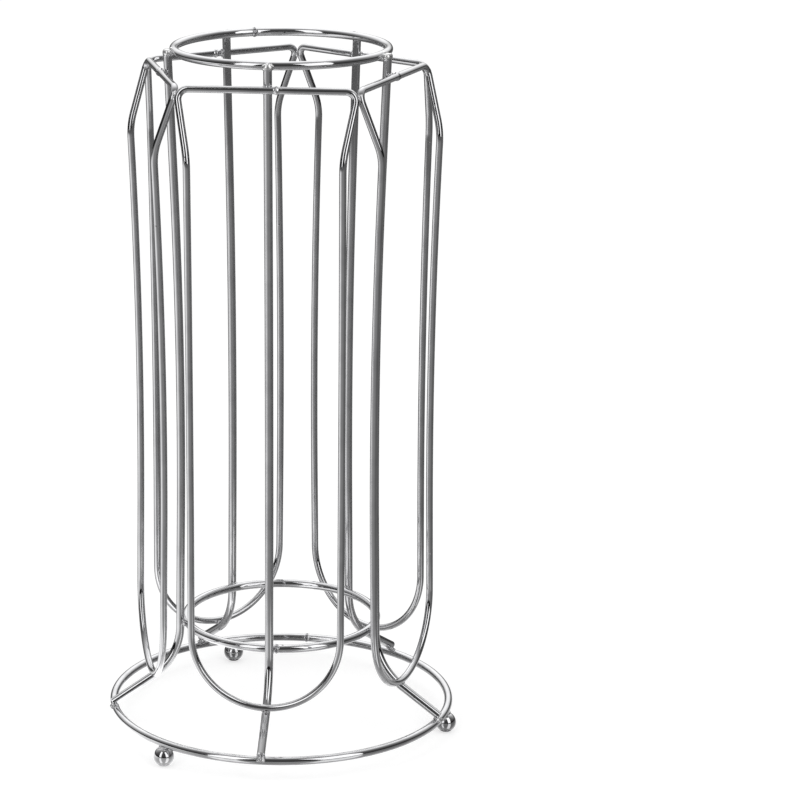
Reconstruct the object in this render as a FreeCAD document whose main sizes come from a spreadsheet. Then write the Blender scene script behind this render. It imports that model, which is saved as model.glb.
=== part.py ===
import FreeCAD, Part
import Sketcher
import os
from collections import namedtuple
from math import acos, asin, atan2, cos, degrees, hypot, pi, sin, sqrt, tan
from FreeCAD import Placement, Rotation, Vector

# A welded wire stand that keeps drum-shaped coffee capsules in columns round a tall cage.
# Millimetres, +Z up. The origin is on the table, on the axis of the rings, and post 1 faces -Y.
# Everything is drawn at angle zero, in the plane of +X and +Z, and then turned about the axis.

# Driving sizes, in millimetres except for the counts
SIZES = [
    ("column_count", 5),
    ("foot_count", 3),
    ("ring_wire_dia", 3.0),
    ("post_wire_dia", 3.0),
    ("loop_wire_dia", 2.5),
    ("weld_setdown", 0.3),
    ("weld_drop_dia", 3.6),
    ("top_ring_radius", 37.5),
    ("top_ring_height", 250.5),
    ("collar_ring_radius", 35.0),
    ("collar_ring_height", 40.5),
    ("base_ring_radius", 62.0),
    ("foot_ball_dia", 7.5),
    ("post_top_rise", 1.0),
    ("post_bow_radius", 2400.0),
    ("post_bend_radius", 22.0),
    ("collar_above_bend", 1.7),
    ("spoke_overhang", 1.0),
    ("capsule_body_dia", 48.0),
    ("body_clearance", 2.4),
    ("flange_channel", 7.8),
    ("bar_below_ring", 7.5),
    ("loop_corner_radius", 3.5),
    ("shoulder_drop", 22.5),
    ("shoulder_bend_radius", 22.0),
    ("straight_below_shoulder", 8.0),
]

# Sizes that follow from others in the sheet, as expressions
POST_TO_RING = "(Sizes.post_wire_dia + Sizes.ring_wire_dia) / 2 - Sizes.weld_setdown"
BASE_RING_HEIGHT = "Sizes.foot_ball_dia + Sizes.ring_wire_dia / 2 - Sizes.weld_setdown"
POST_STRAIGHT_END = "Sizes.bar_below_ring + Sizes.shoulder_drop + Sizes.straight_below_shoulder"

# Angles round the axis, in degrees from +X: the first post, and where each ring's ends are joined
POST_FRONT_ANGLE = -90.0
TOP_JOINT_ANGLE = 110.0
COLLAR_JOINT_ANGLE = 95.0
BASE_JOINT_ANGLE = 85.0

RADIAL = Vector(1, 0, 0)
TANGENTIAL = Vector(0, 1, 0)
UP = Vector(0, 0, 1)

# Rounds of correction that bring a loop's corner to its neighbour, far more than it needs
CORNER_ROUNDS = 12

Bend = namedtuple("Bend", "start middle end centre")

doc = FreeCAD.newDocument("capsule_stand")


def make_sheet():
    """Put every driving size in a named cell."""
    table = doc.addObject("Spreadsheet::Sheet", "Sizes")
    for row, (name, value) in enumerate(SIZES, start=1):
        table.set(f"A{row}", name)
        table.set(f"B{row}", str(value))
        table.setAlias(f"B{row}", name)
    doc.recompute()
    return table


sheet = make_sheet()


def size(name):
    """Read one driving size back from its cell."""
    return float(sheet.get(name))


def at(radius, height):
    """Point in the plane of angle zero, by its distance from the axis and its height."""
    return Vector(radius, 0, height)


def unit(vector):
    """A copy of the vector with length one."""
    return vector / vector.Length


def rounded(before, corner, after, radius):
    """Arc of a given radius that rounds the corner between two straight runs."""
    back = unit(before - corner)
    onward = unit(after - corner)
    half_opening = acos(back.dot(onward)) / 2
    reach = radius / tan(half_opening)
    inward = unit(back + onward)
    centre = corner + inward * hypot(reach, radius)
    return Bend(corner + back * reach, centre - inward * radius, corner + onward * reach, centre)


ring_wire = size("ring_wire_dia") / 2
post_wire = size("post_wire_dia") / 2
loop_wire = size("loop_wire_dia") / 2
setdown = size("weld_setdown")
columns = int(size("column_count"))
feet = int(size("foot_count"))

# Two welded wires sink into each other by the set-down, so their centre lines lie this far apart.
post_to_ring = post_wire + ring_wire - setdown
post_to_loop = post_wire + loop_wire - setdown

top_ring_centre = at(size("top_ring_radius"), size("top_ring_height"))
collar_ring_centre = at(size("collar_ring_radius"), size("collar_ring_height"))
base_ring_centre = at(size("base_ring_radius"), size("foot_ball_dia") + ring_wire - setdown)
foot_ball_centre = at(size("base_ring_radius"), size("foot_ball_dia") / 2)


# Centre line of a post: a straight end on the top ring, a long shallow bow, a straight end on the
# collar ring, the bend of the foot, and the spoke that lies on the base ring

def centre_outside(upper, lower, radius):
    """Centre of the circle through two points that bulges towards the axis."""
    run = upper - lower
    reach = sqrt(radius ** 2 - (run.Length / 2) ** 2)
    return (upper + lower) / 2 + unit(TANGENTIAL.cross(run)) * reach


top_seat = top_ring_centre + RADIAL * post_to_ring
collar_seat = collar_ring_centre + RADIAL * post_to_ring
bow_radius = size("post_bow_radius")
straight_end = size("bar_below_ring") + size("shoulder_drop") + size("straight_below_shoulder")
bow_centre = centre_outside(top_seat, collar_seat, hypot(bow_radius, straight_end))
straight_swing = Rotation(TANGENTIAL, degrees(atan2(straight_end, bow_radius)))
to_upper_bow = unit(straight_swing.inverted().multVec(top_seat - bow_centre))
to_lower_bow = unit(straight_swing.multVec(collar_seat - bow_centre))
upper_bow_end = bow_centre + to_upper_bow * bow_radius
lower_bow_end = bow_centre + to_lower_bow * bow_radius
post_upward = unit(top_seat - upper_bow_end)
post_downward = unit(collar_seat - lower_bow_end)
post_top = top_seat + post_upward * size("post_top_rise")

bend_radius = size("post_bend_radius")
bend_start = collar_seat + post_downward * size("collar_above_bend")
bend_centre = bend_start + post_downward.cross(TANGENTIAL) * bend_radius

# The spoke leaves the bend on the one straight line that also rests on the base ring.
over_base_ring = bend_centre - base_ring_centre
spoke_slope = (pi / 2 - atan2(over_base_ring.z, over_base_ring.x)
               + acos((bend_radius + post_to_ring) / over_base_ring.Length))
spoke_outward = at(cos(spoke_slope), -sin(spoke_slope))
spoke_normal = at(sin(spoke_slope), cos(spoke_slope))
spoke_start = bend_centre - spoke_normal * bend_radius
spoke_end_radius = size("base_ring_radius") + size("spoke_overhang")
spoke_end = spoke_start + spoke_outward * ((spoke_end_radius - spoke_start.x) / spoke_outward.x)


# Centre line of a loop: a bar across its post, two shoulders, and two legs that run parallel with
# the post, outside it by the channel for the capsules' flanges, down to a round foot on the bend

leg_bow_radius = bow_radius - post_wire - size("flange_channel") - loop_wire
leg_upper_bow_end = bow_centre + to_upper_bow * leg_bow_radius
leg_lower_bow_end = bow_centre + to_lower_bow * leg_bow_radius
leg_spread = (size("capsule_body_dia") + size("body_clearance")) / 2 + loop_wire

bar_height = size("top_ring_height") - size("bar_below_ring")
post_lean = post_upward.x / post_upward.z
bar_centre = at(top_seat.x - size("bar_below_ring") * post_lean + post_to_loop, bar_height)
shoulder_rise = bar_height - size("shoulder_drop") - leg_upper_bow_end.z
shoulder = leg_upper_bow_end + post_upward * (shoulder_rise / post_upward.z) + TANGENTIAL * leg_spread


def loop_foot_seat():
    """Lowest point of a loop, and the direction in which the wire under it carries it."""
    to_centre = bend_centre - leg_lower_bow_end
    halfway = to_centre.dot(post_downward)
    seat_radius = bend_radius - post_to_loop
    way_out = halfway + sqrt(halfway ** 2 - to_centre.Length ** 2 + seat_radius ** 2)
    on_bend = leg_lower_bow_end + post_downward * way_out
    if (on_bend - bend_centre).dot(spoke_outward) < 0:
        return on_bend, unit(bend_centre - on_bend)
    to_spoke = spoke_start + spoke_normal * post_to_loop - leg_lower_bow_end
    way_down = to_spoke.dot(spoke_normal) / post_downward.dot(spoke_normal)
    return leg_lower_bow_end + post_downward * way_down, spoke_normal


loop_foot, loop_foot_normal = loop_foot_seat()
foot_round_centre = loop_foot - post_downward * leg_spread

# Neighbouring loops touch at their top corners, on the plane halfway between two posts.
half_pitch = pi / columns
to_neighbour = Vector(-sin(half_pitch), cos(half_pitch), 0)
corner_gap = loop_wire - setdown / 2


def bar_corner(half_width):
    """The rounded corner between a bar and a shoulder."""
    corner = bar_centre + TANGENTIAL * half_width
    return rounded(bar_centre, corner, shoulder, size("loop_corner_radius"))


def corner_contact(half_width):
    """The point of a rounded corner that comes nearest to the plane shared with the next loop."""
    bend = bar_corner(half_width)
    normal = unit((bend.start - bend.centre).cross(bend.end - bend.centre))
    towards = unit(to_neighbour - normal * to_neighbour.dot(normal))
    return bend.centre + towards * size("loop_corner_radius")


def touching_half_width():
    """Half width of a bar that brings its corner just against the next loop."""
    half_width = bar_centre.x * tan(half_pitch)
    for _ in range(CORNER_ROUNDS):
        shortfall = -corner_gap - corner_contact(half_width).dot(to_neighbour)
        half_width += shortfall / cos(half_pitch)
    return half_width


bar_half_width = touching_half_width()


def line(start, end):
    """Straight edge."""
    return Part.LineSegment(start, end).toShape()


def arc(start, middle, end):
    """Edge along the circle through three points."""
    return Part.Arc(start, middle, end).toShape()


def make_loop_half_path():
    """Centre line of one half of a loop, from the middle of its bar to its lowest point."""
    aside = TANGENTIAL * leg_spread
    corner = bar_corner(bar_half_width)
    upper_leg = leg_upper_bow_end + aside
    lower_leg = leg_lower_bow_end + aside
    leg_middle = bow_centre + unit(to_upper_bow + to_lower_bow) * leg_bow_radius + aside
    turn = rounded(corner.end, shoulder, upper_leg, size("shoulder_bend_radius"))
    foot_start = foot_round_centre + aside
    foot_middle = foot_round_centre + unit(TANGENTIAL + post_downward) * leg_spread
    edges = [
        line(bar_centre, corner.start),
        arc(corner.start, corner.middle, corner.end),
        line(corner.end, turn.start),
        arc(turn.start, turn.middle, turn.end),
        line(turn.end, upper_leg),
        arc(upper_leg, leg_middle, lower_leg),
        line(lower_leg, foot_start),
        arc(foot_start, foot_middle, loop_foot),
    ]
    path = doc.addObject("Part::Feature", "loop_half_path")
    path.Shape = Part.Wire(edges)
    return path


def make_loop_wire():
    """One whole loop: a bent half and its mirror image."""
    path = make_loop_half_path()
    profile = doc.addObject("Part::Circle", "loop_profile")
    profile.setExpression("Radius", "Sizes.loop_wire_dia / 2")
    profile.Placement = Placement(bar_centre, Rotation(RADIAL, -90))
    half = doc.addObject("Part::Sweep", "loop_half")
    half.Sections = [profile]
    half.Spine = (path, [f"Edge{number + 1}" for number in range(len(path.Shape.Edges))])
    half.Solid = True
    other_half = doc.addObject("Part::Mirroring", "loop_other_half")
    other_half.Source = half
    other_half.Normal = TANGENTIAL
    wire = doc.addObject("Part::Fuse", "loop_wire")
    wire.Base = half
    wire.Tool = other_half
    return wire


def origin_plane(body, role):
    """One of a body's own origin planes, found by its role."""
    return next(item for item in body.Origin.OriginFeatures if item.Role == role)


def on_sketch(point):
    """A point of the plane of angle zero, as a sketch on that plane counts it."""
    return Vector(point.x, point.z, 0)


def angle_about(centre, point):
    """Direction from a centre to a point, in a sketch's own angles, from 0 to a full turn."""
    return atan2(point.z - centre.z, point.x - centre.x) % (2 * pi)


def sketch_arc(centre, radius, start, end):
    """Sketch arc that runs anticlockwise between two points."""
    circle = Part.Circle(on_sketch(centre), UP, radius)
    return Part.ArcOfCircle(circle, angle_about(centre, start), angle_about(centre, end))


def add_sized(sketch, constraint, name, expression):
    """Add a named constraint whose value comes from the sheet."""
    index = sketch.addConstraint(constraint)
    sketch.renameConstraint(index, name)
    sketch.setExpression(f"Constraints.{name}", expression)


def fix_point(sketch, geometry, place, point, name, radius, height):
    """Hold a point of the sketch at a radius and a height that come from the sheet."""
    across = Sketcher.Constraint("DistanceX", -1, 1, geometry, place, point.x)
    up = Sketcher.Constraint("DistanceY", -1, 1, geometry, place, point.z)
    add_sized(sketch, across, f"{name}_radius", radius)
    add_sized(sketch, up, f"{name}_height", height)


def draw_post_path(body):
    """Sketch a post's centre line, resting on the three rings, and name its edges."""
    path = body.newObject("Sketcher::SketchObject", "post_path")
    path.AttachmentSupport = [(origin_plane(body, "XZ_Plane"), "")]
    path.MapMode = "FlatFace"
    top = path.addGeometry(Part.LineSegment(on_sketch(post_top), on_sketch(upper_bow_end)))
    bow = path.addGeometry(sketch_arc(bow_centre, bow_radius, upper_bow_end, lower_bow_end))
    bottom = path.addGeometry(Part.LineSegment(on_sketch(lower_bow_end), on_sketch(bend_start)))
    bend = path.addGeometry(sketch_arc(bend_centre, bend_radius, bend_start, spoke_start))
    spoke = path.addGeometry(Part.LineSegment(on_sketch(spoke_start), on_sketch(spoke_end)))
    on_top_ring = path.addGeometry(Part.Point(on_sketch(top_seat)), True)
    on_collar_ring = path.addGeometry(Part.Point(on_sketch(collar_seat)), True)
    seat = path.addGeometry(Part.Circle(on_sketch(base_ring_centre), UP, post_to_ring), True)
    path.addConstraint([
        Sketcher.Constraint("Tangent", top, 2, bow, 1),
        Sketcher.Constraint("Tangent", bow, 2, bottom, 1),
        Sketcher.Constraint("Tangent", bottom, 2, bend, 1),
        Sketcher.Constraint("Tangent", bend, 2, spoke, 1),
        Sketcher.Constraint("Tangent", spoke, seat),
        Sketcher.Constraint("PointOnObject", on_top_ring, 1, top),
        Sketcher.Constraint("PointOnObject", on_collar_ring, 1, bottom),
    ])
    top_rise = size("post_top_rise")
    bend_drop = size("collar_above_bend")
    sized = [
        (Sketcher.Constraint("Radius", bow, bow_radius), "bow_radius", "Sizes.post_bow_radius"),
        (Sketcher.Constraint("Radius", bend, bend_radius), "bend_radius", "Sizes.post_bend_radius"),
        (Sketcher.Constraint("Radius", seat, post_to_ring), "seat_gap", POST_TO_RING),
        (Sketcher.Constraint("Distance", on_top_ring, 1, top, 2, straight_end),
         "top_straight", POST_STRAIGHT_END),
        (Sketcher.Constraint("Distance", on_collar_ring, 1, bottom, 1, straight_end),
         "bottom_straight", POST_STRAIGHT_END),
        (Sketcher.Constraint("Distance", on_top_ring, 1, top, 1, top_rise),
         "top_rise", "Sizes.post_top_rise"),
        (Sketcher.Constraint("Distance", on_collar_ring, 1, bottom, 2, bend_drop),
         "bend_drop", "Sizes.collar_above_bend"),
        (Sketcher.Constraint("DistanceX", -1, 1, spoke, 2, spoke_end_radius),
         "spoke_end_radius", "Sizes.base_ring_radius + Sizes.spoke_overhang"),
    ]
    for constraint, name, expression in sized:
        add_sized(path, constraint, name, expression)
    fix_point(path, on_top_ring, 1, top_seat, "top_seat",
              f"Sizes.top_ring_radius + {POST_TO_RING}", "Sizes.top_ring_height")
    fix_point(path, on_collar_ring, 1, collar_seat, "collar_seat",
              f"Sizes.collar_ring_radius + {POST_TO_RING}", "Sizes.collar_ring_height")
    fix_point(path, seat, 3, base_ring_centre, "base_seat", "Sizes.base_ring_radius", BASE_RING_HEIGHT)
    return path, [f"Edge{index + 1}" for index in (top, bow, bottom, bend, spoke)]


def make_post_wire():
    """One whole post, as a round wire drawn along its sketched centre line."""
    body = doc.addObject("PartDesign::Body", "post_wire")
    path, edges = draw_post_path(body)
    profile = body.newObject("Sketcher::SketchObject", "post_profile")
    profile.AttachmentSupport = [(origin_plane(body, "XY_Plane"), "")]
    profile.MapMode = "FlatFace"
    # The profile is square to the post's end, with the wire's seam a quarter turn from the welds.
    square = Rotation(TANGENTIAL, degrees(asin(post_upward.x))) * Rotation(UP, 90)
    profile.AttachmentOffset = Placement(post_top, square)
    section = profile.addGeometry(Part.Circle(Vector(), UP, post_wire))
    profile.addConstraint(Sketcher.Constraint("Coincident", section, 3, -1, 1))
    radius = Sketcher.Constraint("Radius", section, post_wire)
    add_sized(profile, radius, "wire_radius", "Sizes.post_wire_dia / 2")
    pipe = body.newObject("PartDesign::AdditivePipe", "post_pipe")
    pipe.Profile = profile
    pipe.Spine = (path, edges)
    return body


def turned(angle):
    """Placement that turns a piece about the axis, by an angle in degrees."""
    return Placement(Vector(), Rotation(UP, angle))


def make_ring(name, radius, height, joint_angle):
    """A ring of round wire, centred on the axis, whose ends are butted together at an angle."""
    ring = doc.addObject("Part::Torus", name)
    ring.Placement = turned(joint_angle)
    ring.setExpression("Radius1", radius)
    ring.setExpression("Radius2", "Sizes.ring_wire_dia / 2")
    ring.setExpression("Placement.Base.z", height)
    return ring


def make_foot_ball():
    """A solid ball under the base ring."""
    ball = doc.addObject("Part::Sphere", "foot_ball")
    ball.setExpression("Radius", "Sizes.foot_ball_dia / 2")
    ball.setExpression("Placement.Base.x", "Sizes.base_ring_radius")
    ball.setExpression("Placement.Base.z", "Sizes.foot_ball_dia / 2")
    return ball


def group(name, members):
    """Several objects taken together."""
    compound = doc.addObject("Part::Compound", name)
    compound.Links = members
    return compound


def cut(name, base, tool):
    """The base less the tool."""
    piece = doc.addObject("Part::Cut", name)
    piece.Base = base
    piece.Tool = tool
    return piece


def copy_turned(name, source, angle):
    """The same solid again, turned about the axis."""
    twin = group(name, [source])
    twin.Placement = turned(angle)
    return twin


def copies_round(name, source, angles):
    """Numbered copies of one solid at several angles round the axis."""
    return [copy_turned(f"{name}_{number}", source, angle) for number, angle in enumerate(angles, start=1)]


def make_welds(name, point, first_wire, second_wire, angles):
    """Weld metal squeezed out round a crossing: a round drop less the two wires it lies between."""
    drop = doc.addObject("Part::Sphere", f"{name}_drop")
    drop.setExpression("Radius", "Sizes.weld_drop_dia / 2")
    drop.Placement.Base = point
    bead = cut(f"{name}_bead", cut(f"{name}_half_bead", drop, first_wire), second_wire)
    return group(name, copies_round(f"{name}_bead", bead, angles))


post_angles = [POST_FRONT_ANGLE + 360.0 * number / columns for number in range(columns)]
foot_angles = [POST_FRONT_ANGLE - 180.0 / columns + 360.0 * number / feet for number in range(feet)]

top_ring = make_ring("top_ring", "Sizes.top_ring_radius", "Sizes.top_ring_height", TOP_JOINT_ANGLE)
collar_ring = make_ring("collar_ring", "Sizes.collar_ring_radius", "Sizes.collar_ring_height",
                        COLLAR_JOINT_ANGLE)
base_ring = make_ring("base_ring", "Sizes.base_ring_radius", BASE_RING_HEIGHT, BASE_JOINT_ANGLE)
rings = [top_ring, collar_ring, base_ring]

post_wire_body = make_post_wire()
loop_wire_body = make_loop_wire()
next_loop = copy_turned("next_loop_wire", loop_wire_body, 360.0 / columns)
foot_ball = make_foot_ball()

# Where two wires are welded, one is notched by the other, so that they meet on a shared face.
notched_post = cut("notched_post", post_wire_body, group("post_neighbours", rings + [loop_wire_body]))
notched_loop = cut("notched_loop", loop_wire_body, next_loop)
notched_ball = cut("notched_ball", foot_ball, base_ring)
posts = copies_round("post", notched_post, post_angles)
loops = copies_round("capsule_loop", notched_loop, post_angles)
ball_feet = copies_round("ball_foot", notched_ball, foot_angles)

# Each weld lies where the two wires' surfaces cross, halfway into the set-down.
ring_reach = ring_wire - setdown / 2
top_contact = top_ring_centre + RADIAL * ring_reach
collar_contact = collar_ring_centre + RADIAL * ring_reach
bar_contact = bar_centre - RADIAL * (loop_wire - setdown / 2)
corner_point = corner_contact(bar_half_width) + to_neighbour * corner_gap
foot_contact = loop_foot - loop_foot_normal * (loop_wire - setdown / 2)
base_contact = base_ring_centre + spoke_normal * ring_reach
ball_contact = foot_ball_centre + UP * (size("foot_ball_dia") / 2 - setdown / 2)

welds = [
    make_welds("top_ring_welds", top_contact, top_ring, post_wire_body, post_angles),
    make_welds("collar_ring_welds", collar_contact, collar_ring, post_wire_body, post_angles),
    make_welds("loop_bar_welds", bar_contact, post_wire_body, loop_wire_body, post_angles),
    make_welds("loop_corner_welds", corner_point, loop_wire_body, next_loop, post_angles),
    make_welds("loop_foot_welds", foot_contact, post_wire_body, loop_wire_body, post_angles),
    make_welds("base_ring_welds", base_contact, base_ring, post_wire_body, post_angles),
    make_welds("ball_foot_welds", ball_contact, base_ring, foot_ball, foot_angles),
]

pieces = rings + posts + loops + ball_feet + welds
doc.recompute()

for item in doc.Objects:
    if "Invalid" in item.State or "Error" in item.State:
        raise RuntimeError(f"{item.Name} failed: {item.State}")
for piece in pieces:
    if piece.Shape.isNull() or not piece.Shape.isValid():
        raise RuntimeError(f"{piece.Label} has no valid shape")

os.makedirs("parts", exist_ok=True)
for piece in pieces:
    piece.Shape.exportStep(f"parts/{piece.Label}.step")
    print(f"{piece.Label}: {len(piece.Shape.Solids)} solids, {piece.Shape.Volume:.2f} mm3")
print(f"spoke slope {degrees(spoke_slope):.1f} degrees, bar half width {bar_half_width:.2f} mm")
print(f"loop foot at radius {loop_foot.x:.2f} mm, height {loop_foot.z:.2f} mm")
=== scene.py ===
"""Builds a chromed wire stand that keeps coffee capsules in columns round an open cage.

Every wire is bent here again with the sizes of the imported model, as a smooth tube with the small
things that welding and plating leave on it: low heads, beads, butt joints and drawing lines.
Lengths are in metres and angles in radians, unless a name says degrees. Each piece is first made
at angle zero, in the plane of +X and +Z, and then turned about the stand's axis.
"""

import logging
from collections.abc import Callable
from dataclasses import dataclass
from enum import Enum
from math import acos, atan2, cos, hypot, pi, radians, sin, sqrt, tan

import bpy
from mathutils import Matrix, Vector


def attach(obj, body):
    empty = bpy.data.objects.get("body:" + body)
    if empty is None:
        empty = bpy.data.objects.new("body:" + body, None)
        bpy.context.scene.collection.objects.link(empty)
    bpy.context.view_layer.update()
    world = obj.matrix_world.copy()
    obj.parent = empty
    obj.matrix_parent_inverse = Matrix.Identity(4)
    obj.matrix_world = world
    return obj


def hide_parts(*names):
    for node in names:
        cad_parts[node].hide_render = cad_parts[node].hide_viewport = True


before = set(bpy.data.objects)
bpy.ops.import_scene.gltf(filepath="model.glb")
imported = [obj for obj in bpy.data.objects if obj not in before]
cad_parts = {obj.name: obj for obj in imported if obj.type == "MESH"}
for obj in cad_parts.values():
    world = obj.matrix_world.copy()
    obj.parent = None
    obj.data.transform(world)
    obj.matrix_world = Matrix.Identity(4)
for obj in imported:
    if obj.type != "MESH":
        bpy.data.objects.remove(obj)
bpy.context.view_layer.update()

log = logging.getLogger("capsule_stand")

RADIAL = Vector((1.0, 0.0, 0.0))
TANGENTIAL = Vector((0.0, 1.0, 0.0))
UP = Vector((0.0, 0.0, 1.0))
PLATED = "plated_"
MERGE_DISTANCE = 0.00001
SMOOTH_BELOW_DEGREES = 50.0
BOW_STEP_DEGREES = 0.15
BEND_STEP_DEGREES = 2.5
END_REACH = 1.05
RIM_SLOPE = 0.6
CORNER_ROUNDS = 12

# Numbers of the Mix node's sockets, because their names repeat
MIX_FACTOR = 0
MIX_NUMBERS = (2, 3)
MIX_COLORS = (6, 7)
MIXED_NUMBER = 0
MIXED_COLOR = 2

Wanted = Callable[[Vector], bool]
Color = tuple[float, float, float, float]
Scale = tuple[float, float, float]
Span = tuple[float, float]
Tones = tuple[tuple[float, float], ...]


class Slot(Enum):
    """Material slots of the stand's record."""

    WIRE = "wire"
    BALL = "ball"
    WELD = "weld_bead"


@dataclass(frozen=True)
class StandSizes:
    """Sizes of the stand that its wires are bent to, in metres."""

    columns: int = 5
    feet: int = 3
    ring_wire: float = 0.0015
    post_wire: float = 0.0015
    loop_wire: float = 0.00125
    setdown: float = 0.0003
    top_ring_radius: float = 0.0375
    top_ring_height: float = 0.2505
    collar_ring_radius: float = 0.035
    collar_ring_height: float = 0.0405
    base_ring_radius: float = 0.062
    ball_radius: float = 0.00375
    post_top_rise: float = 0.001
    bow_radius: float = 2.4
    bend_radius: float = 0.022
    collar_above_bend: float = 0.0017
    spoke_overhang: float = 0.001
    leg_gap: float = 0.0504
    flange_channel: float = 0.0078
    bar_below_ring: float = 0.0075
    corner_radius: float = 0.0035
    shoulder_drop: float = 0.0225
    shoulder_bend_radius: float = 0.022
    straight_below_shoulder: float = 0.008

    def base_ring_height(self) -> float:
        """Height of the base ring's centre line, on the balls."""
        return 2 * self.ball_radius + self.ring_wire - self.setdown

    def post_angles(self) -> list[float]:
        """Angles of the posts round the axis, the front one first."""
        return [-pi / 2 + 2 * pi * number / self.columns for number in range(self.columns)]

    def foot_angles(self) -> list[float]:
        """Angles of the ball feet round the axis, the front left one first."""
        first = -pi / 2 - pi / self.columns
        return [first + 2 * pi * number / self.feet for number in range(self.feet)]


@dataclass(frozen=True)
class Bend:
    """A circular bend between two straight runs: its two ends and its centre."""

    start: Vector
    end: Vector
    centre: Vector


def at(radius: float, height: float) -> Vector:
    """Point in the plane of angle zero, by its distance from the axis and its height."""
    return Vector((radius, 0.0, height))


def heading(angle: float) -> Vector:
    """Level direction at an angle round the axis."""
    return Vector((cos(angle), sin(angle), 0.0))


def grey(level: float) -> Color:
    """Opaque grey of one level."""
    return (level, level, level, 1.0)


def rounded(before: Vector, corner: Vector, after: Vector, radius: float) -> Bend:
    """Bend that rounds the corner between two straight runs.

    Args:
        before: Any point of the run that arrives at the corner.
        corner: Where the two straight lines meet.
        after: Any point of the run that leaves the corner.
        radius: Radius of the wire's centre line.

    Returns:
        The bend, tangent to both runs.
    """
    back = (before - corner).normalized()
    onward = (after - corner).normalized()
    half_opening = acos(back.dot(onward)) / 2
    reach = radius / tan(half_opening)
    inward = (back + onward).normalized()
    centre = corner + inward * hypot(reach, radius)
    return Bend(corner + back * reach, corner + onward * reach, centre)


class PostLine:
    """Centre line of a post: two straight ends, a shallow bow, the bend of the foot and the spoke."""

    def __init__(self, sizes: StandSizes) -> None:
        """Work out the line's points.

        Args:
            sizes: The stand's sizes.
        """
        gap = sizes.post_wire + sizes.ring_wire - sizes.setdown
        self.top_seat = at(sizes.top_ring_radius + gap, sizes.top_ring_height)
        self.collar_seat = at(sizes.collar_ring_radius + gap, sizes.collar_ring_height)
        straight = sizes.bar_below_ring + sizes.shoulder_drop + sizes.straight_below_shoulder
        run = self.top_seat - self.collar_seat
        reach = sqrt(sizes.bow_radius ** 2 + straight ** 2 - (run.length / 2) ** 2)
        out = TANGENTIAL.cross(run).normalized()
        self.bow_centre = (self.top_seat + self.collar_seat) / 2 + out * reach
        swing = atan2(straight, sizes.bow_radius)
        lower_turn = Matrix.Rotation(swing, 3, "Y")
        upper_turn = Matrix.Rotation(-swing, 3, "Y")
        self.to_upper = (upper_turn @ (self.top_seat - self.bow_centre)).normalized()
        self.to_lower = (lower_turn @ (self.collar_seat - self.bow_centre)).normalized()
        self.upper_bow_end = self.bow_centre + self.to_upper * sizes.bow_radius
        self.lower_bow_end = self.bow_centre + self.to_lower * sizes.bow_radius
        self.upward = (self.top_seat - self.upper_bow_end).normalized()
        self.downward = (self.collar_seat - self.lower_bow_end).normalized()
        self.top = self.top_seat + self.upward * sizes.post_top_rise
        self.bend_start = self.collar_seat + self.downward * sizes.collar_above_bend
        self.bend_centre = self.bend_start + self.downward.cross(TANGENTIAL) * sizes.bend_radius
        self.ring_centre = at(sizes.base_ring_radius, sizes.base_ring_height())
        over = self.bend_centre - self.ring_centre
        self.slope = pi / 2 - atan2(over.z, over.x) + acos((sizes.bend_radius + gap) / over.length)
        self.outward = at(cos(self.slope), -sin(self.slope))
        self.normal = at(sin(self.slope), cos(self.slope))
        self.spoke_start = self.bend_centre - self.normal * sizes.bend_radius
        end_radius = sizes.base_ring_radius + sizes.spoke_overhang
        reach_out = (end_radius - self.spoke_start.x) / self.outward.x
        self.spoke_end = self.spoke_start + self.outward * reach_out


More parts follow.
